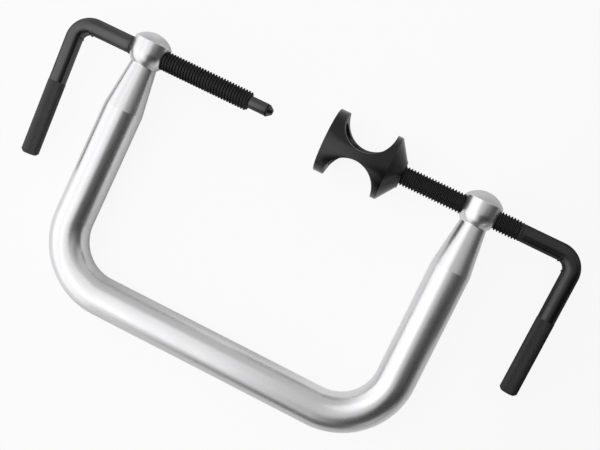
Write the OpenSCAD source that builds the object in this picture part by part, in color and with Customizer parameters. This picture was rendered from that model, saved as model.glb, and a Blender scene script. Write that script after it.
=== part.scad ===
// Valve spring compressor: a bent bar C-frame with two cranked screws on one axis.
// The left screw ends in a pilot that bears on the valve head.
// The right screw carries a swivelling fork that presses the spring retainer down.
// The tool lies on its side: screws along X, fork and lower bar touching the ground at z = 0.

/* [Frame] */
// Diameter of the round bar the frame is bent from
bar_d = 25.4; // [22:0.1:30]
// Distance between the axes of the two arms
arm_spacing = 228; // [190:1:280]
// Distance from the screw axis to the axis of the lower bar
reach = 153; // [130:1:220]
// Bend radius of the bar, measured to its axis
bend_r = 38.1; // [30:0.1:50]

/* [Arm ends] */
// Diameter of the turned head that the screw passes through, ball-shaped below
head_d = 24.4; // [22:0.1:29]
// Height of the head's top edge above the screw axis
head_top = 7.3; // [6.8:0.1:12]
// Height of the domed top above that edge
dome_h = 5.9; // [3:0.1:9]
// Diameter of the neck
neck_d = 17.4; // [16.5:0.1:20]
// Length of the neck
neck_l = 0.4; // [0.2:0.1:4]
// Length of the taper from the neck to the full bar
taper_l = 30.1; // [20:0.1:50]

/* [Screws] */
// Outside diameter of the screw thread
thread_d = 12.7; // [11.5:0.1:13.5]
// Length of the screw thread
thread_l = 85.5; // [75:0.5:110]
// Chamfer at both ends of the thread
thread_chamfer = 0.9; // [0.4:0.1:1.4]
// Diameter of the rod the screw is made from
rod_d = 11.1; // [9:0.1:11.4]
// Distance from the thread to the corner of the cranked handle
shank_l = 35.2; // [28:0.1:60]
// Bend radius of the handle, measured to its axis
handle_bend_r = 11; // [9:0.1:18]
// How much the rod swells where it is bent, on its radius
bend_swell = 0.12; // [0.1:0.01:0.3]
// Distance from the screw axis to the end of the handle
handle_l = 91; // [75:0.5:140]
// Diameter over the knurled grip
grip_d = 11.5; // [11.4:0.1:15]
// Length of the knurled grip
grip_l = 50; // [25:0.5:55]
// Chamfer at the end of the grip
grip_chamfer = 1.5; // [0.3:0.1:2]
// Degrees that the pilot screw's handle is bent past square
tip_handle_lean = 2.8; // [-2:0.1:6]
// Degrees that the fork screw's handle is bent past square
fork_handle_lean = 1; // [-2:0.1:6]

/* [Pilots] */
// Diameter of the pilot that each screw is reduced to
pilot_d = 7.94; // [7:0.01:9]
// Length of the straight part of the pilot
pilot_l = 13; // [10:0.1:18]
// Length of the conical nose
nose_l = 3; // [2:0.1:6]
// Diameter of the flat end of the nose
nose_flat_d = 3.4; // [2:0.1:5]
// Straight length left between the ring groove and the nose
groove_margin = 0.2; // [0.1:0.1:1.5]
// Width of the ring groove
groove_w = 0.9; // [0.8:0.1:1.6]
// Depth of the ring groove
groove_depth = 0.85; // [0.5:0.05:1.2]

/* [Retaining rings] */
// How far a ring stands out of the pilot
ring_lip = 0.25; // [0.2:0.05:1.5]
// Width of the gap that lets a ring spring open
ring_gap = 3.2; // [2:0.1:5]
// Free space on each side of a ring in its groove
ring_side = 0.1; // [0.05:0.01:0.2]
// End play of the fork against its ring
ring_play = 0.3; // [0.2:0.1:0.8]

/* [Fork] */
// Outside diameter of the fork
fork_d = 41.3; // [38:0.1:48]
// Length of the fork
fork_l = 50.8; // [48:0.1:70]
// Diameter of the bore that the valve stem and keepers stand in
fork_bore_d = 28.6; // [24:0.1:31]
// Radius of the bore's inner corner
fork_corner_r = 2; // [0.5:0.1:3]
// Diameter of the hub's rear face
hub_d = 16.6; // [15.5:0.1:24]
// Chamfer on the hub's rear edge
hub_chamfer = 1.2; // [0.4:0.1:1.5]
// Length of the hub's conical back, from the rear face
hub_cone_l = 8.9; // [5:0.1:11]
// Depth of the recess that the end of the thread stands in
recess_l = 4.2; // [2:0.1:6]
// Radius of the two side windows
window_r = 16.3; // [12:0.1:17]
// Distance from the press face to the middle of the windows
window_x = 22.2; // [21:0.1:26]
// Width left between the two windows
web_w = 6.1; // [4:0.1:10]

/* [Resting pose] */
// Distance from the left arm's axis to the end of the pilot screw's thread
tip_out = 71.3; // [25:0.1:72.8]
// Distance from the right arm's axis to the fork's rear face
fork_out = 51.6; // [14:0.1:68]
// Degrees that the fork is swung on its screw
fork_turn = 4; // [-180:1:180]

/* [Fits] */
// Radial clearance of turning fits
run_gap = 0.05; // [0.02:0.01:0.1]
// Radial clearance around the thread's end in the hub
recess_gap = 0.3; // [0.2:0.05:0.6]

/* [Hidden] */
$fn = 96;

// The frame leans on its screws until the lower bar and the fork both touch the ground
lean = asin((fork_d - bar_d) / 2 / reach);
screw_z = fork_d / 2;

// Depths along an arm, below the screw axis
neck_top_y = sqrt(pow(head_d / 2, 2) - pow(neck_d / 2, 2));
neck_low_y = neck_top_y + neck_l;
taper_y = neck_low_y + taper_l;
dome_r = (pow(head_d / 2, 2) + pow(dome_h, 2)) / (2 * dome_h);

// Places along a screw, counted from the shoulder at the end of its thread
groove_end = pilot_l - groove_margin;
groove_start = groove_end - groove_w;
groove_d = pilot_d - 2 * groove_depth;
crank_x = thread_l + shank_l;

// The straight rod runs this far into the swollen bend
bend_lap = 1;

// The fork's floor stops just short of the ring that holds the fork on
fork_floor = recess_l + groove_start - ring_play;

// Places of the two shoulders on the screw axis
tip_shoulder_x = -arm_spacing / 2 + tip_out;
hub_x = arm_spacing / 2 - fork_out;
fork_shoulder_x = hub_x - recess_l;

// The part is centred over the ground in X and Y
left_x = outer_x(tip_shoulder_x - crank_x, tip_handle_lean, 1);
right_x = outer_x(fork_shoulder_x + crank_x, fork_handle_lean, -1);
back_y = fork_d / 2;
front_y = -reach * cos(lean) - bar_d / 2;
centre_x = (left_x + right_x) / 2;
centre_y = (back_y + front_y) / 2;

// Distance from the crank's corner to the start of its bend
function bend_run(crank_lean) = handle_bend_r * tan((90 + crank_lean) / 2);

// Outermost point of a crank whose corner lies at the given place
function outer_x(corner_x, crank_lean, side) =
    corner_x + side * (bend_run(crank_lean) - handle_bend_r - rod_d / 2 - bend_swell);

// Carries the upright tool into its resting place
module resting() {
    translate([-centre_x, -centre_y, screw_z])
        rotate([lean, 0, 0])
            children();
}

// Turns a profile drawn as radius and length about the screw axis
module turned_along_x() {
    rotate([0, 90, 0])
        rotate_extrude()
            children();
}

// Turns a profile drawn as radius and height about an arm's axis
module turned_along_y() {
    rotate([-90, 0, 0])
        rotate_extrude()
            children();
}

// Domed top of an arm head, as half a profile
module dome_profile() {
    intersection() {
        translate([0, head_top + dome_h - dome_r])
            circle(r = dome_r);
        translate([0, head_top])
            square([head_d, dome_h + 1]);
    }
}

// Ball-shaped underside of an arm head, about the screw axis, as half a profile
module ball_profile() {
    intersection() {
        circle(d = head_d);
        translate([0, -head_d / 2])
            square(head_d / 2);
    }
}

// One arm from its bend to its domed head, as half a profile
module arm_profile() {
    dome_profile();
    square([head_d / 2, head_top]);
    ball_profile();
    polygon([
        [0, 0],
        [neck_d / 2, 0],
        [neck_d / 2, -neck_low_y],
        [bar_d / 2, -taper_y],
        [bar_d / 2, -reach + bend_r],
        [0, -reach + bend_r]
    ]);
}

// A quarter bend of the bar, in the plane of the frame
module bar_bend(from_angle) {
    rotate([0, 0, from_angle])
        rotate_extrude(angle = 90)
            translate([bend_r, 0])
                circle(d = bar_d);
}

// C-frame: one bar bent twice, with both ends turned and cross-drilled for the screws
module c_frame() {
    color([0.78, 0.78, 0.8])
        resting()
            difference() {
                union() {
                    for (side = [-1, 1])
                        translate([side * arm_spacing / 2, 0, 0])
                            turned_along_y()
                                arm_profile();
                    translate([-arm_spacing / 2 + bend_r, -reach + bend_r, 0])
                        bar_bend(180);
                    translate([arm_spacing / 2 - bend_r, -reach + bend_r, 0])
                        bar_bend(270);
                    translate([-arm_spacing / 2 + bend_r, -reach, 0])
                        rotate([0, 90, 0])
                            cylinder(d = bar_d, h = arm_spacing - 2 * bend_r);
                }
                for (side = [-1, 1])
                    translate([side * arm_spacing / 2 - head_d, 0, 0])
                        rotate([0, 90, 0])
                            cylinder(d = thread_d + 2 * run_gap, h = 2 * head_d);
            }
}

// Threaded length, grooved pilot and conical nose of a screw, as half a profile
module screw_profile(crank_lean) {
    polygon([
        [0, -crank_x + bend_run(crank_lean) - bend_lap],
        [rod_d / 2, -crank_x + bend_run(crank_lean) - bend_lap],
        [rod_d / 2, -thread_l],
        [thread_d / 2 - thread_chamfer, -thread_l],
        [thread_d / 2, -thread_l + thread_chamfer],
        [thread_d / 2, -thread_chamfer],
        [thread_d / 2 - thread_chamfer, 0],
        [pilot_d / 2, 0],
        [pilot_d / 2, groove_start],
        [groove_d / 2, groove_start],
        [groove_d / 2, groove_end],
        [pilot_d / 2, groove_end],
        [pilot_d / 2, pilot_l],
        [nose_flat_d / 2, pilot_l + nose_l],
        [0, pilot_l + nose_l]
    ]);
}

// Handle from the end of the bend to the end of the grip, as half a profile
module handle_profile(straight_l) {
    polygon([
        [0, -bend_lap],
        [rod_d / 2, -bend_lap],
        [rod_d / 2, straight_l - grip_l],
        [grip_d / 2, straight_l - grip_l + (grip_d - rod_d) / 2],
        [grip_d / 2, straight_l - grip_chamfer],
        [grip_d / 2 - grip_chamfer, straight_l],
        [0, straight_l]
    ]);
}

// One cranked screw with its shoulder at the origin and its pilot pointing along X
module cranked_screw(crank_lean) {
    bend_x = -crank_x + bend_run(crank_lean);
    bend_depth = handle_bend_r * (1 + sin(crank_lean));
    straight_l = (handle_l - bend_depth) / cos(crank_lean);
    turned_along_x()
        screw_profile(crank_lean);
    translate([bend_x, -handle_bend_r, 0])
        rotate([0, 0, 90]) {
            rotate_extrude(angle = 90 + crank_lean)
                translate([handle_bend_r, 0])
                    circle(d = rod_d + 2 * bend_swell);
            rotate([0, 0, 90 + crank_lean])
                translate([handle_bend_r, 0, 0])
                    turned_along_y()
                        handle_profile(straight_l);
        }
}

// Left screw: its nose seats in the middle of the valve head
module tip_screw() {
    color([0.07, 0.07, 0.08])
        resting()
            translate([tip_shoulder_x, 0, 0])
                cranked_screw(tip_handle_lean);
}

// Right screw: the same blank, with its pilot running in the fork's hub
module fork_screw() {
    color([0.07, 0.07, 0.08])
        resting()
            translate([fork_shoulder_x, 0, 0])
                mirror([1, 0, 0])
                    cranked_screw(fork_handle_lean);
}

// Split spring ring that snaps into a pilot's groove, with the shoulder at the origin
module spring_ring() {
    difference() {
        turned_along_x()
            translate([groove_d / 2 + run_gap, groove_start + ring_side])
                square([groove_depth + ring_lip - run_gap, groove_w - 2 * ring_side]);
        translate([groove_start, 0, -ring_gap / 2])
            cube([groove_w, pilot_d, ring_gap]);
    }
}

// Ring in the groove of the left pilot
module tip_ring() {
    color([0.2, 0.2, 0.21])
        resting()
            translate([tip_shoulder_x, 0, 0])
                spring_ring();
}

// Ring that keeps the fork on its screw
module fork_ring() {
    color([0.2, 0.2, 0.21])
        resting()
            translate([fork_shoulder_x, 0, 0])
                mirror([1, 0, 0])
                    spring_ring();
}

// Inside of the fork's cup, as half a profile with a rounded inner corner
module cup_profile() {
    translate([0, fork_floor + fork_corner_r])
        square([fork_bore_d / 2, fork_l]);
    translate([0, fork_floor])
        square([fork_bore_d / 2 - fork_corner_r, fork_corner_r]);
    intersection() {
        translate([fork_bore_d / 2 - fork_corner_r, fork_floor + fork_corner_r])
            circle(r = fork_corner_r);
        translate([fork_bore_d / 2 - fork_corner_r, fork_floor])
            square([fork_corner_r, fork_corner_r]);
    }
}

// Turned blank of the fork, counted from the hub's rear face, as half a profile
module fork_profile() {
    difference() {
        polygon([
            [0, 0],
            [hub_d / 2, 0],
            [hub_d / 2 + hub_chamfer, hub_chamfer],
            [fork_d / 2, hub_cone_l],
            [fork_d / 2, fork_l],
            [0, fork_l]
        ]);
        cup_profile();
        translate([0, -1])
            square([thread_d / 2 + recess_gap, recess_l + 1]);
        square([pilot_d / 2 + run_gap, fork_floor + 1]);
    }
}

// Fork: a turned cup with two side windows, free to swivel on the screw's pilot
module fork() {
    window_y = web_w / 2 + window_r;
    color([0.09, 0.09, 0.1])
        resting()
            translate([hub_x, 0, 0])
                rotate([fork_turn, 0, 0])
                    difference() {
                        mirror([1, 0, 0])
                            turned_along_x()
                                fork_profile();
                        for (side = [-1, 1])
                            translate([window_x - fork_l, side * window_y, -fork_d])
                                cylinder(r = window_r, h = 2 * fork_d);
                    }
}

c_frame();
tip_screw();
tip_ring();
fork_screw();
fork_ring();
fork();
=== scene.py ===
import math

import bmesh
import bpy
from mathutils import Matrix, Vector


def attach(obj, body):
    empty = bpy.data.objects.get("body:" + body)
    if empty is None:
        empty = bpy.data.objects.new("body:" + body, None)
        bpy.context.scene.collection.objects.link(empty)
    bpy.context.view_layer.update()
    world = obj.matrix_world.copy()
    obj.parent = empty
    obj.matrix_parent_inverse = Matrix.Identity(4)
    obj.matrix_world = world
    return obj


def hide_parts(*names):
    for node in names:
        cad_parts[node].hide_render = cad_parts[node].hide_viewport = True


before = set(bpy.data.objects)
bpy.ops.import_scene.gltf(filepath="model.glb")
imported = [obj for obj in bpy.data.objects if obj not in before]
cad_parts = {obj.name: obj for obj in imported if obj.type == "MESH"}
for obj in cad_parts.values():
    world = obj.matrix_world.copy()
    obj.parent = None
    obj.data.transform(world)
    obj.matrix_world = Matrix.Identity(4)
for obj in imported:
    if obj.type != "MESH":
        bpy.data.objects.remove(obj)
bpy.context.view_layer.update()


# C-frame: one round steel bar, bent twice, with both ends turned to a taper, a narrow neck and a domed head
# that is ball-shaped below. Each head is cross-drilled and tapped, and the whole bar is plated bright.

bar_radius = 0.0127
arm_x = 0.114
lower_bar_y = -0.153
bend_radius = 0.0381
taper_length = 0.0301
neck_radius = 0.0087
neck_length = 0.0004
head_radius = 0.0122
head_top_y = 0.0073
dome_height = 0.0059
ball_steps = 16
dome_steps = 17
tapped_hole_radius = 0.0064
drill_length = 0.05
frame_edge = 0.00035
weld_gap = 0.000001
crosswise = (0.0, math.pi / 2, 0.0)
bend_axis = (0.0, 0.0, 1.0)
fork_above_bar = 0.00795
ground_lean = math.asin(fork_above_bar / -lower_bar_y)
ground_turn = (ground_lean, 0.0, 0.0)
ground_place = (-0.007928728, 0.072421658, 0.02065)
plating_shown = (0.78, 0.78, 0.79)
plating_clear = (0.80, 0.80, 0.81)
plating_darker = (0.64, 0.64, 0.65)
plating_relief = 0.000012
bar_lines_end_y = -0.142
lines_meet_y = -0.128
arm_lines_start_y = -0.112
turned_edge = 0.0002
dome_edge_fade = 0.0005


def take_up(name):
    """Names the primitive just added, settles its place into its mesh and opens it for editing."""
    piece = bpy.context.object
    piece.name = piece.data.name = name
    bpy.ops.object.transform_apply(location=True, rotation=True, scale=True)
    bpy.ops.object.mode_set(mode="EDIT")
    bpy.ops.mesh.select_all(action="SELECT")
    return piece


def draw_out(step, scale=1.0, about=(0.0, 0.0, 0.0)):
    """Draws the selected edge loop out by a step, and widens or narrows it about its middle."""
    bpy.ops.mesh.extrude_region_move(TRANSFORM_OT_translate={"value": step})
    if scale != 1.0:
        bpy.ops.transform.resize(value=(scale, scale, scale), center_override=about)


def close_up():
    """Welds seams and poles, turns the faces outwards and leaves edit mode."""
    bpy.ops.mesh.select_all(action="SELECT")
    bpy.ops.mesh.remove_doubles(threshold=weld_gap)
    bpy.ops.mesh.normals_make_consistent(inside=False)
    bpy.ops.object.mode_set(mode="OBJECT")


def pick_up(piece):
    """Makes one piece the only selected and active one."""
    bpy.ops.object.select_all(action="DESELECT")
    piece.select_set(True)
    bpy.context.view_layer.objects.active = piece


def work(piece, kind, **settings):
    """Adds a modifier to a piece and applies it."""
    pick_up(piece)
    step = piece.modifiers.new(kind.lower(), kind)
    for key, value in settings.items():
        setattr(step, key, value)
    bpy.ops.object.modifier_apply(modifier=step.name)


def round_edges(piece, width, segments, sharper_than):
    """Rounds the edges of a piece that are sharper than an angle in degrees."""
    limit = math.radians(sharper_than)
    work(piece, "BEVEL", width=width, segments=segments, limit_method="ANGLE", angle_limit=limit)


def cut_with(piece, cutter, operation="DIFFERENCE"):
    """Cuts a piece with another solid, or joins the two; the other solid is used up."""
    work(piece, "BOOLEAN", operation=operation, object=cutter, solver="MANIFOLD")
    bpy.data.objects.remove(cutter)


def clean(piece):
    """Welds the points that cutting leaves almost touching, and turns the faces outwards."""
    pick_up(piece)
    bpy.ops.object.mode_set(mode="EDIT")
    close_up()


def put(piece, turn=(0.0, 0.0, 0.0), place=(0.0, 0.0, 0.0)):
    """Turns and moves a piece, and settles that into its mesh."""
    pick_up(piece)
    piece.rotation_euler = turn
    piece.location = place
    bpy.ops.object.transform_apply(location=True, rotation=True, scale=True)


def lay_down(piece, smooth_angle):
    """Shades a piece that was modelled upright on the screw axis, and lays it where the tool lies."""
    pick_up(piece)
    bpy.ops.object.shade_smooth_by_angle(angle=math.radians(smooth_angle))
    put(piece, ground_turn, ground_place)


bend_start_x = arm_x - bend_radius
bend_end_y = lower_bar_y + bend_radius
ball_edge = math.asin(neck_radius / head_radius)
neck_low_y = -head_radius * math.cos(ball_edge) - neck_length
taper_foot_y = neck_low_y - taper_length
dome_radius = (head_radius ** 2 + dome_height ** 2) / (2 * dome_height)
dome_edge = math.asin(head_radius / dome_radius)
dome_top_y = head_top_y + dome_height

arm_turning = [(bend_end_y, bar_radius), (taper_foot_y, bar_radius), (neck_low_y, neck_radius)]
for part_way in range(0, ball_steps + 1):
    slope = ball_edge + (math.pi / 2 - ball_edge) * part_way / ball_steps
    arm_turning.append((-head_radius * math.cos(slope), head_radius * math.sin(slope)))
arm_turning.append((head_top_y, head_radius))
for part_way in range(1, dome_steps):
    slope = dome_edge * (1 - part_way / dome_steps)
    drop = dome_radius * (1 - math.cos(slope))
    arm_turning.append((dome_top_y - drop, dome_radius * math.sin(slope)))

bpy.ops.object.select_all(action="DESELECT")
bpy.ops.mesh.primitive_circle_add(
    vertices=192,
    radius=bar_radius,
    location=(0.0, lower_bar_y, 0.0),
    rotation=crosswise,
)
plated_frame = take_up("plated_frame")
draw_out((bend_start_x, 0.0, 0.0))
bpy.ops.mesh.spin(
    steps=40,
    angle=-math.pi / 2,
    center=(bend_start_x, bend_end_y, 0.0),
    axis=bend_axis,
)
for (low, was), (high, now) in zip(arm_turning, arm_turning[1:]):
    draw_out((0.0, high - low, 0.0), now / was, (arm_x, high, 0.0))
last_y = arm_turning[-1][0]
draw_out((0.0, dome_top_y - last_y, 0.0))
bpy.ops.mesh.merge(type="CENTER")
close_up()
work(plated_frame, "MIRROR", use_axis=(True, False, False), merge_threshold=weld_gap)
round_edges(plated_frame, frame_edge, segments=7, sharper_than=20)
for drill_x in (-arm_x, arm_x):
    bpy.ops.object.select_all(action="DESELECT")
    bpy.ops.mesh.primitive_cylinder_add(
        vertices=96,
        radius=tapped_hole_radius,
        depth=drill_length,
        location=(drill_x, 0.0, 0.0),
        rotation=crosswise,
    )
    drill = take_up("drill")
    bpy.ops.object.mode_set(mode="OBJECT")
    cut_with(plated_frame, drill)
clean(plated_frame)
lay_down(plated_frame, smooth_angle=6)


class Wire:
    """A socket in a finish, reckoned with + - * as a number is."""

    def __init__(self, tree, socket=None):
        self.tree = tree
        self.socket = socket

    def node(self, kind, settings, sockets, out=0):
        """Adds a node, with its settings first and then the values or links of its sockets."""
        made = self.tree.nodes.new("ShaderNode" + kind)
        for key, value in settings.items():
            setattr(made, key, value)
        for key, value in sockets.items():
            if isinstance(value, Wire):
                self.tree.links.new(value.socket, made.inputs[key])
            else:
                made.inputs[key].default_value = value
        return Wire(self.tree, made.outputs[out] if made.outputs else None)

    def reckon(self, operation, *terms):
        """Adds a Math node."""
        return self.node("Math", {"operation": operation}, dict(enumerate(terms)))

    def __add__(self, other):
        return self.reckon("ADD", self, other)

    def __radd__(self, other):
        return self.reckon("ADD", other, self)

    def __sub__(self, other):
        return self.reckon("SUBTRACT", self, other)

    def __rsub__(self, other):
        return self.reckon("SUBTRACT", other, self)

    def __mul__(self, other):
        return self.reckon("MULTIPLY", self, other)

    def __rmul__(self, other):
        return self.reckon("MULTIPLY", other, self)

    def coordinate(self, axis):
        """One of a point's three coordinates."""
        return self.node("SeparateXYZ", {}, {"Vector": self}, out=axis)

    def ease(self, low, high):
        """0 below low, 1 above high, smooth between."""
        limits = {"Value": self, "From Min": low, "From Max": high}
        return self.node("MapRange", {"interpolation_type": "SMOOTHSTEP"}, limits)

    def tint(self, low, high):
        """A colour between two, by this value."""
        return self.node("Mix", {"data_type": "RGBA"}, {0: self, 6: (*low, 1.0), 7: (*high, 1.0)}, out=2)


def new_finish(name, shown):
    """A finish and its surface point, measured on the upright tool from the screw axis."""
    finish = bpy.data.materials.new(name)
    finish.use_nodes = True
    finish.diffuse_color = (*shown, 1.0)
    start = Wire(finish.node_tree)
    here = start.node("TexCoord", {}, {}, out="Object")
    lying = {"Vector": here, "Location": ground_place, "Rotation": ground_turn}
    return finish, start.node("Mapping", {"vector_type": "TEXTURE"}, lying)


def grain(point, size, stretch=(1.0, 1.0, 1.0), detail=2.0):
    """Noise of a given grain size in metres, drawn out along an axis."""
    drawn = point.node("VectorMath", {"operation": "MULTIPLY"}, {0: point, 1: stretch})
    sockets = {"Vector": drawn, "Scale": 1.0 / size, "Detail": detail, "Roughness": 0.55}
    return point.node("TexNoise", {}, sockets)


def mix(finish, bump_height, bump_depth, varying, **fixed):
    """Feeds a finish's shader with what varies over the surface and what doesn't."""
    shader = finish.node_tree.nodes["Principled BSDF"]
    bump = bump_height.node("Bump", {}, {"Strength": 1.0, "Distance": bump_depth, "Height": bump_height})
    finish.node_tree.links.new(bump.socket, shader.inputs["Normal"])
    for key, wire in varying.items():
        finish.node_tree.links.new(wire.socket, shader.inputs[key])
    for key, value in fixed.items():
        shader.inputs[key.replace("_", " ")].default_value = value


def lay_on(piece, *finishes, place=0):
    """Gives a piece its finishes, with the one in the given place all over it."""
    piece.data.materials.clear()
    for finish in finishes:
        piece.data.materials.append(finish)
    for face in piece.data.polygons:
        face.material_index = place


bright_plating, spot = new_finish("bright_plating", plating_shown)
height = spot.coordinate("Y")
cloud = grain(spot, 0.016)
peel = grain(spot, 0.0011, detail=1.0)
along_arm = grain(spot, 0.00045, (1.0, 0.03, 1.0))
along_bar = grain(spot, 0.00045, (0.03, 1.0, 1.0))
on_arm = height.ease(lines_meet_y, arm_lines_start_y)
on_bar = 1 - height.ease(bar_lines_end_y, lines_meet_y)
drawn_lines = along_arm * on_arm + along_bar * on_bar
turned = height.ease(taper_foot_y - turned_edge, taper_foot_y + turned_edge)
lathe_lines = grain(spot, 0.00032, (0.04, 1.0, 0.04), detail=1.0) * turned
speck = grain(spot, 0.0024, detail=3.0).ease(0.66, 0.74)
# The plating is tinted darker in random clouds and specks, and all over the domed tops of the heads.
domed = height.ease(head_top_y, head_top_y + dome_edge_fade)
dull = cloud * 0.10 + drawn_lines * 0.08 + speck * 0.06 + domed * 0.06
mix(
    bright_plating,
    drawn_lines * 0.35 + lathe_lines * 0.8 + peel * 0.35,
    plating_relief,
    {
        "Base Color": (cloud * 0.3 + speck * 0.25 + domed * 0.7).tint(plating_clear, plating_darker),
        "Roughness": dull + 0.20,
    },
    Metallic=1.0,
)
lay_on(plated_frame, bright_plating)
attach(plated_frame, "frame")
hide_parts("c_frame")


# Cranked screws: two steel rods, each rolled with a 13-per-inch right-hand thread, turned down to a grooved
# pilot with a conical nose, bent square into a handle and knurled at its end. Both are blackened by hot
# oxide and oiled.

thread_radius = 0.00635
inch = 0.0254
threads_per_inch = 13
thread_pitch = inch / threads_per_inch
thread_depth_share = 0.5413
thread_length = 0.0855
thread_chamfer = 0.0009
thread_run_out = 0.006
thread_sink = 0.00005
spare_turns = 2
blank_clear = 0.0001
rod_radius = 0.00555
rod_overlap = 0.0003
plain_length = 0.0352
corner_x = thread_length + plain_length
handle_bend = 0.011
handle_reach = 0.091
pinch_bulge = 0.0008
pinch_place = 0.14
pinch_width = 0.085
left_past_square = math.radians(2.8)
right_past_square = math.radians(1.0)
grip_radius = 0.00575
grip_length = 0.050
grip_chamfer = 0.0015
grip_sink = 0.0003
grip_root = 0.004
grip_ridges = 42
grip_tooth = 0.00018
knurl_lean = math.radians(30)
pilot_radius = 0.00397
pilot_length = 0.013
pilot_root = 0.004
pilot_edge = 0.0001
groove_start = 0.0119
groove_end = 0.0128
groove_radius = 0.00312
nose_length = 0.003
nose_flat = 0.0017
pilot_shoulder_x = -0.0427
fork_shoulder_x = 0.0582
screw_axis = (1.0, 0.0, 0.0)
oxide_shown = (0.05, 0.05, 0.055)
thread_shown = (0.04, 0.04, 0.045)
oxide_dark = (0.044, 0.044, 0.046)
oxide_pale_and_lit = (0.112, 0.112, 0.115)
cut_oxide_dark = (0.042, 0.042, 0.043)
cut_oxide_pale = (0.106, 0.106, 0.109)
oxide_tint = (0.45, 0.45, 0.45, 1.0)
oxide_relief = 0.000015
cut_oxide_relief = 0.00002
painted_light_full_x = -0.02
painted_light_end_x = 0.04


def scribe(name, points):
    """Draws a line through points given as length along the screw axis and distance from it."""
    bpy.ops.object.select_all(action="DESELECT")
    bpy.ops.mesh.primitive_plane_add(size=0.001)
    line = take_up(name)
    bpy.ops.mesh.merge(type="CENTER")
    bpy.ops.transform.translate(value=(points[0][0], points[0][1], 0.0))
    for (from_x, from_r), (to_x, to_r) in zip(points, points[1:]):
        step = (to_x - from_x, to_r - from_r, 0.0)
        bpy.ops.mesh.extrude_vertices_move(TRANSFORM_OT_translate={"value": step})
    return line


def turn_on_lathe(name, points, steps=96):
    """Turns a scribed line about the screw axis into a solid."""
    solid = scribe(name, points)
    bpy.ops.mesh.select_all(action="SELECT")
    bpy.ops.mesh.spin(steps=steps, angle=math.tau, center=(0.0, 0.0, 0.0), axis=screw_axis)
    close_up()
    return solid


def rolled_thread(name):
    """The threaded length, chamfered at the origin and running out into the rod at its far end."""
    root_radius = thread_radius - thread_depth_share * thread_pitch
    one_pitch = [
        (0, root_radius),
        (1 / 8, root_radius),
        (7 / 16, thread_radius),
        (9 / 16, thread_radius),
        (7 / 8, root_radius),
        (1, root_radius),
    ]
    start = -thread_length - spare_turns * thread_pitch
    thread = scribe(name, [(start + share * thread_pitch, radius) for share, radius in one_pitch])
    bpy.ops.object.mode_set(mode="OBJECT")
    turns = math.ceil(thread_length / thread_pitch) + 2 * spare_turns
    work(
        thread,
        "SCREW",
        axis="X",
        angle=math.tau,
        screw_offset=thread_pitch,
        iterations=turns,
        steps=64,
        render_steps=64,
    )
    bpy.ops.object.mode_set(mode="EDIT")
    bpy.ops.mesh.select_all(action="SELECT")
    bpy.ops.mesh.remove_doubles(threshold=weld_gap)
    bpy.ops.mesh.fill_holes(sides=0)
    ridge = bmesh.from_edit_mesh(thread.data)
    for corner in ridge.verts:
        reached = (corner.co.x + thread_length) / thread_run_out
        if reached < 1.0:
            radius = math.hypot(corner.co.y, corner.co.z)
            swell = (rod_radius - thread_sink + (radius - rod_radius) * max(reached, 0.0)) / radius
            corner.co.y *= swell
            corner.co.z *= swell
    bmesh.update_edit_mesh(thread.data)
    close_up()
    blank = turn_on_lathe("thread_blank", [
        (-thread_length, 0.0),
        (-thread_length, thread_radius + blank_clear),
        (-thread_chamfer - blank_clear, thread_radius + blank_clear),
        (0.0, thread_radius - thread_chamfer),
        (0.0, 0.0),
    ])
    cut_with(thread, blank, "INTERSECT")
    return thread


def knurled_grip(name):
    """The knurled length from its inner end at the origin: rows of small pyramids, chamfered at both ends."""
    half_turn = math.pi / grip_ridges
    row = half_turn * grip_radius / math.tan(knurl_lean)
    rows = math.ceil(grip_length / row) + 2
    shrink = 1 - grip_tooth / grip_radius
    bpy.ops.object.select_all(action="DESELECT")
    bpy.ops.mesh.primitive_circle_add(
        vertices=2 * grip_ridges,
        radius=grip_radius,
        location=(-row, 0.0, 0.0),
        rotation=crosswise,
    )
    grip = take_up(name)
    for drawn in range(rows):
        draw_out((row, 0.0, 0.0))
    knurl = bmesh.from_edit_mesh(grip.data)
    for corner in knurl.verts:
        column = round(math.atan2(corner.co.z, corner.co.y) / half_turn)
        line = round(corner.co.x / row)
        if (column + line) % 2 == 0:
            corner.co.y *= shrink
            corner.co.z *= shrink
    bmesh.update_edit_mesh(grip.data)
    bpy.ops.mesh.select_all(action="SELECT")
    bpy.ops.mesh.quads_convert_to_tris(quad_method="SHORTEST_DIAGONAL")
    bpy.ops.mesh.fill_holes(sides=0)
    close_up()
    entry = grip_radius - rod_radius + grip_sink + blank_clear
    blank = turn_on_lathe("grip_blank", [
        (0.0, 0.0),
        (0.0, rod_radius - grip_sink),
        (entry, grip_radius + blank_clear),
        (grip_length - grip_chamfer - blank_clear, grip_radius + blank_clear),
        (grip_length, grip_radius - grip_chamfer),
        (grip_length, 0.0),
    ])
    cut_with(grip, blank, "INTERSECT")
    return grip


def pinch_bend(screw, centre, bend):
    """Presses the inside of a crank's bend: the rod bulges a little where the bend begins and ends."""
    rod = bmesh.from_edit_mesh(screw.data)
    for corner in rod.verts:
        arm = Vector((corner.co.x - centre.x, corner.co.y - centre.y, 0.0))
        along = math.atan2(-arm.x, arm.y)
        inner = (handle_bend - arm.length) / rod_radius
        if inner > 0.0:
            begins = math.exp(-((along - pinch_place) / pinch_width) ** 2)
            ends = math.exp(-((along - bend + pinch_place) / pinch_width) ** 2)
            corner.co -= arm.normalized() * pinch_bulge * (begins + ends) * inner ** 3
    bmesh.update_edit_mesh(screw.data)


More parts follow.
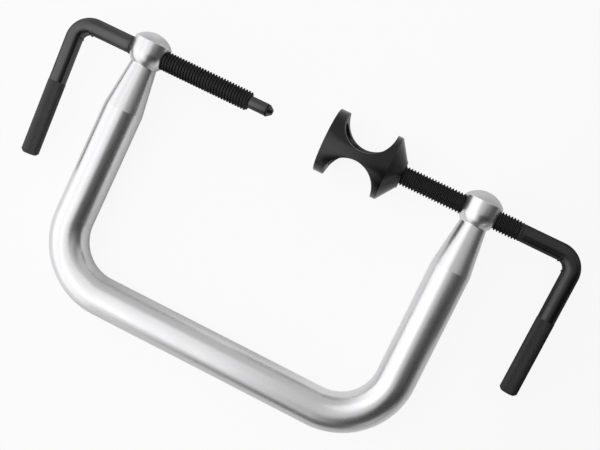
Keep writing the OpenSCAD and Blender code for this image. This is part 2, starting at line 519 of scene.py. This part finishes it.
def cranked_screw(name, past_square):
    """A whole screw with the end of its thread at the origin, its pilot along X and its handle downwards."""
    bend = math.pi / 2 + past_square
    bend_x = -corner_x + handle_bend * math.tan(bend / 2)
    bend_centre = Vector((bend_x, -handle_bend, 0.0))
    bend_drop = handle_bend * (1 + math.sin(past_square))
    bend_end = Vector((bend_x - handle_bend * math.cos(past_square), -bend_drop, 0.0))
    handle_way = Vector((math.sin(past_square), -math.cos(past_square), 0.0))
    straight = (handle_reach - bend_drop) / math.cos(past_square)

    bpy.ops.object.select_all(action="DESELECT")
    bpy.ops.mesh.primitive_circle_add(
        vertices=80,
        radius=rod_radius,
        location=(rod_overlap - thread_length, 0.0, 0.0),
        rotation=crosswise,
    )
    screw = take_up(name)
    draw_out((bend_x + thread_length - rod_overlap, 0.0, 0.0))
    bpy.ops.mesh.spin(steps=90, angle=-bend, center=bend_centre, axis=bend_axis)
    draw_out(handle_way * (straight - grip_length + grip_root))
    pinch_bend(screw, bend_centre, bend)
    bpy.ops.mesh.select_all(action="SELECT")
    bpy.ops.mesh.fill_holes(sides=0)
    close_up()

    pilot = turn_on_lathe("pilot", [
        (-pilot_root, 0.0),
        (-pilot_root, pilot_radius),
        (groove_start, pilot_radius),
        (groove_start, groove_radius),
        (groove_end, groove_radius),
        (groove_end, pilot_radius),
        (pilot_length, pilot_radius),
        (pilot_length + nose_length, nose_flat),
        (pilot_length + nose_length, 0.0),
    ])
    round_edges(pilot, pilot_edge, segments=3, sharper_than=20)

    grip = knurled_grip("grip")
    put(grip, (0.0, 0.0, past_square - math.pi / 2), bend_end + handle_way * (straight - grip_length))

    thread = rolled_thread("thread")
    for part, place in ((screw, 0), (pilot, 0), (thread, 1), (grip, 2)):
        lay_on(part, black_oxide, thread_oxide, knurl_oxide, place=place)
    for part in (pilot, thread, grip):
        cut_with(screw, part, "UNION")
    clean(screw)
    return screw


black_oxide, spot = new_finish("black_oxide", oxide_shown)
cloud = grain(spot, 0.009)
pores = grain(spot, 0.0004, detail=3.0)
drawn_lines = grain(spot, 0.0005, (0.05, 1.0, 1.0), detail=1.0)
# Painted light: the oxide of the left screw is tinted lighter, where the light from the left falls.
painted_left_light = 1 - spot.coordinate("X").ease(painted_light_full_x, painted_light_end_x)
mix(
    black_oxide,
    pores * 0.6 + drawn_lines * 0.4,
    oxide_relief,
    {
        "Base Color": (cloud * 0.4 + painted_left_light * 0.6).tint(oxide_dark, oxide_pale_and_lit),
        "Roughness": 0.17 + cloud * 0.06 + pores * 0.08,
    },
    Metallic=1.0,
    Specular_Tint=oxide_tint,
)

thread_oxide, spot = new_finish("thread_oxide", thread_shown)
cloud = grain(spot, 0.006)
pores = grain(spot, 0.0003, detail=3.0)
across = spot.coordinate("X")
left_thread_x = pilot_shoulder_x - thread_length
right_thread_x = fork_shoulder_x + thread_length
# The last threads at the left end are tinted lighter, and both ends are glossier.
left_end = 1 - across.ease(left_thread_x, left_thread_x + thread_run_out)
right_end = across.ease(right_thread_x - thread_run_out, right_thread_x)
mix(
    thread_oxide,
    pores,
    cut_oxide_relief,
    {
        "Base Color": (cloud * 0.3 + pores * 0.2 + left_end * 0.6).tint(cut_oxide_dark, cut_oxide_pale),
        "Roughness": 0.40 + cloud * 0.10 + pores * 0.10 - (left_end + right_end) * 0.16,
    },
    Metallic=1.0,
    Specular_Tint=oxide_tint,
)

knurl_oxide, spot = new_finish("knurl_oxide", oxide_shown)
cloud = grain(spot, 0.006)
pores = grain(spot, 0.0003, detail=3.0)
# Painted light: the knurl of the left grip is tinted lighter, where the light from the left falls.
painted_left_light = 1 - spot.coordinate("X").ease(painted_light_full_x, painted_light_end_x)
mix(
    knurl_oxide,
    pores,
    cut_oxide_relief,
    {
        "Base Color": (cloud * 0.3 + pores * 0.2 + painted_left_light * 0.5).tint(cut_oxide_dark, cut_oxide_pale),
        "Roughness": 0.40 + cloud * 0.10 + pores * 0.10,
    },
    Metallic=1.0,
    Specular_Tint=oxide_tint,
)

pilot_screw = cranked_screw("pilot_screw", left_past_square)
put(pilot_screw, place=(pilot_shoulder_x, 0.0, 0.0))
press_screw = cranked_screw("press_screw", right_past_square)
put(press_screw, (0.0, math.pi, 0.0), (fork_shoulder_x, 0.0, 0.0))
screws = (
    (pilot_screw, "tip_screw", "tip_screw"),
    (press_screw, "fork_screw", "fork_screw"),
)
for screw, rider, node in screws:
    lay_down(screw, smooth_angle=24)
    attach(screw, rider)
    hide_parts(node)


# Spring rings: two split rings of spring steel, snapped into the grooves of the pilots.
# The left one stands free on the nose; the other keeps the fork on its screw.

ring_inner = 0.00317
ring_outer = 0.00422
ring_width = 0.0007
ring_edge = 0.00016
ring_half_opening = 0.0016
ring_middle = (ring_inner + ring_outer) / 2
ring_half_gap = math.asin(ring_half_opening / ring_middle)
spring_shown = (0.2, 0.2, 0.21)
spring_dark = (0.016, 0.016, 0.0165)
spring_stained = (0.034, 0.034, 0.035)
spring_relief = 0.00001


def split_ring(name, middle_x):
    """A split ring about the screw axis, with its gap upwards."""
    centre = (middle_x, 0.0, 0.0)
    bpy.ops.object.select_all(action="DESELECT")
    bpy.ops.mesh.primitive_plane_add(size=1.0, location=(middle_x, ring_middle, 0.0))
    bpy.context.object.scale = (ring_width, ring_outer - ring_inner, 1.0)
    ring = take_up(name)
    bpy.ops.mesh.bevel(offset=ring_edge, segments=3, affect="VERTICES")
    bpy.ops.mesh.select_all(action="SELECT")
    bpy.ops.transform.rotate(value=-ring_half_gap, orient_axis="X", center_override=centre)
    bpy.ops.mesh.spin(steps=84, angle=2 * ring_half_gap - math.tau, center=centre, axis=screw_axis)
    bpy.ops.mesh.select_all(action="SELECT")
    bpy.ops.mesh.fill_holes(sides=0)
    close_up()
    return ring


groove_middle = (groove_start + groove_end) / 2
pilot_ring = split_ring("pilot_ring", pilot_shoulder_x + groove_middle)
keeper_ring = split_ring("keeper_ring", fork_shoulder_x - groove_middle)

spring_steel, spot = new_finish("dark_spring_steel", spring_shown)
wire_lines = grain(spot, 0.0002, (1.0, 0.2, 0.2), detail=1.0)
stain = grain(spot, 0.0015)
mix(
    spring_steel,
    wire_lines,
    spring_relief,
    {
        "Base Color": stain.tint(spring_dark, spring_stained),
        "Roughness": 0.36 + wire_lines * 0.12,
    },
    Metallic=1.0,
    Specular_Tint=oxide_tint,
)
rings = (
    (pilot_ring, "tip_carrier", "tip_ring"),
    (keeper_ring, "fork_carrier", "fork_ring"),
)
for ring, rider, node in rings:
    lay_down(ring, smooth_angle=30)
    lay_on(ring, spring_steel)
    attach(ring, rider)
    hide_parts(node)


# Fork: a steel cup turned from bar, with a conical back and a bored hub that runs on the fork screw's pilot.
# Two round windows are milled through its sides, and it is blackened like the screws.

fork_radius = 0.02065
fork_length = 0.0508
fork_bore = 0.0143
fork_floor = 0.0158
floor_corner = 0.002
corner_steps = 8
hub_radius = 0.0083
hub_chamfer = 0.0012
hub_cone = 0.0089
recess_radius = 0.00665
recess_depth = 0.00422
hub_bore = 0.00402
window_radius = 0.0163
window_x = -0.0286
window_y = 0.01935
mill_length = 0.06
fork_edge = 0.0002
wall_lean_slack = 0.01
wall_slack = 0.00005
hub_x = 0.0624
fork_swing = math.radians(4)
fork_shown = (0.08, 0.08, 0.085)
fork_dark = (0.035, 0.035, 0.036)
fork_cloudy = (0.052, 0.052, 0.054)
fork_relief = 0.00001
milled_shown = (0.06, 0.06, 0.065)
milled_dark = (0.028, 0.028, 0.029)
milled_light = (0.046, 0.046, 0.047)
milled_relief = 0.000008

cup_line = [
    (0.0, recess_radius),
    (0.0, hub_radius),
    (-hub_chamfer, hub_radius + hub_chamfer),
    (-hub_cone, fork_radius),
    (-fork_length, fork_radius),
    (-fork_length, fork_bore),
]
for part_way in range(0, corner_steps + 1):
    turn = math.pi / 2 * part_way / corner_steps
    cup_line.append((
        -fork_floor - floor_corner * (1 - math.sin(turn)),
        fork_bore - floor_corner * (1 - math.cos(turn)),
    ))
cup_line += [
    (-fork_floor, hub_bore),
    (-recess_depth, hub_bore),
    (-recess_depth, recess_radius),
    (0.0, recess_radius),
]
black_fork = turn_on_lathe("black_fork", cup_line, steps=160)
for side in (-1, 1):
    bpy.ops.object.select_all(action="DESELECT")
    bpy.ops.mesh.primitive_cylinder_add(
        vertices=160,
        radius=window_radius,
        depth=mill_length,
        location=(window_x, side * window_y, 0.0),
    )
    mill = take_up("mill")
    bpy.ops.object.mode_set(mode="OBJECT")
    cut_with(black_fork, mill)
round_edges(black_fork, fork_edge, segments=2, sharper_than=24)
clean(black_fork)
window_walls = []
for face in black_fork.data.polygons:
    from_axis = math.hypot(face.center.x - window_x, abs(face.center.y) - window_y)
    if abs(face.normal.z) < wall_lean_slack and abs(from_axis - window_radius) < wall_slack:
        window_walls.append(face.index)
put(black_fork, (fork_swing, 0.0, 0.0), (hub_x, 0.0, 0.0))
lay_down(black_fork, smooth_angle=24)

black_fork_finish, spot = new_finish("black_fork_finish", fork_shown)
cloud = grain(spot, 0.012)
pores = grain(spot, 0.0005, detail=3.0)
lathe_lines = grain(spot, 0.0004, (1.0, 0.05, 0.05), detail=1.0)
mix(
    black_fork_finish,
    pores * 0.5 + lathe_lines * 0.6,
    fork_relief,
    {
        "Base Color": cloud.tint(fork_dark, fork_cloudy),
        "Roughness": 0.19 + cloud * 0.04 + pores * 0.06,
    },
    Metallic=1.0,
)

# The window walls get their own, darker finish: partly their milled surface, partly painted shade for the
# dark under the fork that they reflect.
milled_shaded_black, spot = new_finish("milled_shaded_black", milled_shown)
mill_lines = grain(spot, 0.0003, (0.1, 0.1, 1.0), detail=1.0)
mix(
    milled_shaded_black,
    mill_lines,
    milled_relief,
    {
        "Base Color": mill_lines.tint(milled_dark, milled_light),
        "Roughness": 0.22 + mill_lines * 0.10,
    },
    Metallic=1.0,
    Specular_Tint=oxide_tint,
)
lay_on(black_fork, black_fork_finish, milled_shaded_black)
for wall in window_walls:
    black_fork.data.polygons[wall].material_index = 1
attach(black_fork, "fork")
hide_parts("fork")


# Studio: a floor that the camera sees white, a white tent that is brightest on the left and has a few dim
# places, mostly on the right, a soft panel overhead on the left, and the camera almost straight above the
# tool. The floor's paper is painted darker towards the right, and its white glow in reflections is left out
# beside the tool as painted shade.

floor_size = 8.0
paper_white = (0.9, 0.9, 0.9)
paper_painted_shade = (0.58, 0.58, 0.58)
pure_white = (1.0, 1.0, 1.0, 1.0)
seen_glow = 0.9
mirrored_glow = 0.55
picture_width = 600.0
focal_length = 895.0
camera_place = Vector((0.06451, 0.04052, 0.57071))
camera_look = Vector((-0.09602, -0.0418, -0.9945))
camera_up = Vector((-0.44004, 0.89797, 0.00474))


def strip(place, start, full, fade, end):
    """1 on the strip between two places, easing to 0 on both sides of it."""
    return place.ease(start, full) * (1 - place.ease(fade, end))


def towards(direction):
    """How nearly the tent is looked at in one direction."""
    return way.node("VectorMath", {"operation": "DOT_PRODUCT"}, {0: way, 1: direction}, out="Value")


bpy.ops.object.select_all(action="DESELECT")
bpy.ops.mesh.primitive_plane_add(size=floor_size)
floor = take_up("floor")
bpy.ops.mesh.subdivide(number_cuts=3)
bpy.ops.object.mode_set(mode="OBJECT")
white_floor = bpy.data.materials.new("white_floor")
white_floor.use_nodes = True
white_floor.node_tree.nodes.clear()
start = Wire(white_floor.node_tree)
seen = start.node("LightPath", {}, {}, out="Is Camera Ray")
mirrored = start.node("LightPath", {}, {}, out="Is Glossy Ray")
through = start.node("LightPath", {}, {}, out="Is Transmission Ray")
here = start.node("TexCoord", {}, {}, out="Object")
across = here.coordinate("X")
along = here.coordinate("Y")
on_right = across.ease(0.04, 0.24)
# Painted shade: reflections see the floor's white glow except in strips beside the left arm, behind and in
# front of the lower bar and towards the right, where the tool's shadow and the dim right side fall.
by_left_arm = strip(across, start=-0.125, full=-0.115, fade=-0.07, end=-0.01)
beside_back = strip(across, start=-0.125, full=-0.115, fade=0.02, end=0.07)
by_back = strip(along, start=-0.085, full=-0.075, fade=-0.05, end=0.0) * beside_back
by_front = (1 - along.ease(-0.12, -0.09)) * across.ease(-0.15, -0.05)
open_floor = (1 - by_left_arm) * (1 - by_back) * (1 - by_front) * (1 - on_right)
# Painted shade: the paper is tinted darker towards the right.
paper = start.node("BsdfDiffuse", {}, {"Color": on_right.tint(paper_white, paper_painted_shade)})
glow = start.node("Emission", {}, {"Color": pure_white, "Strength": 1.0})
glowing = seen * seen_glow + through + mirrored * open_floor * mirrored_glow
shown = start.node("MixShader", {}, {0: glowing, 1: paper, 2: glow})
start.node("OutputMaterial", {}, {"Surface": shown})
floor.data.materials.append(white_floor)

tent = bpy.data.worlds.new("white_tent")
bpy.context.scene.world = tent
tent.use_nodes = True
tent.node_tree.nodes.clear()
start = Wire(tent.node_tree)
way = start.node("TexCoord", {}, {}, out="Generated")
left_wall = towards((-0.90, -0.37, 0.23)).ease(0.2, 1.0) * 0.74 + 0.58
high_right = towards((0.567, -0.443, 0.695)).ease(0.80, 0.94) * 0.88
low_front = towards((0.17, -0.963, 0.21)).ease(0.88, 0.98) * 0.85
low_right = towards((0.977, -0.051, 0.208)).ease(0.76, 0.97) * 0.86
high_front = towards((0.261, -0.587, 0.766)).ease(0.90, 0.98) * 0.35
high_back = towards((0.64, 0.40, 0.655)).ease(0.955, 0.995) * 0.45
light = left_wall * (1 - high_right) * (1 - low_front) * (1 - low_right) * (1 - high_front) * (1 - high_back)
seen = start.node("LightPath", {}, {}, out="Is Camera Ray")
lit = start.node("Background", {}, {"Color": light, "Strength": 1.0})
plain = start.node("Background", {}, {"Color": pure_white, "Strength": 1.0})
shown = start.node("MixShader", {}, {0: seen, 1: lit, 2: plain})
start.node("OutputWorld", {}, {"Surface": shown})

panel = bpy.data.lights.new("overhead_panel", "AREA")
panel.shape = "RECTANGLE"
panel.size = 0.322
panel.size_y = 0.755
panel.energy = 0.343
holder = bpy.data.objects.new("overhead_panel", panel)
bpy.context.scene.collection.objects.link(holder)
holder.location = (-0.171, -0.1275, 0.41)

lens = bpy.data.cameras.new("camera")
lens.sensor_width = 36.0
lens.lens = focal_length * lens.sensor_width / picture_width
lens.clip_start = 0.01
camera = bpy.data.objects.new("camera", lens)
bpy.context.scene.collection.objects.link(camera)
forward = camera_look.normalized()
rightward = forward.cross(camera_up).normalized()
upward = rightward.cross(forward)
camera.matrix_world = Matrix((
    (rightward.x, upward.x, -forward.x, camera_place.x),
    (rightward.y, upward.y, -forward.y, camera_place.y),
    (rightward.z, upward.z, -forward.z, camera_place.z),
    (0.0, 0.0, 0.0, 1.0),
))
bpy.context.scene.camera = camera
bpy.context.scene.view_settings.view_transform = "Standard"
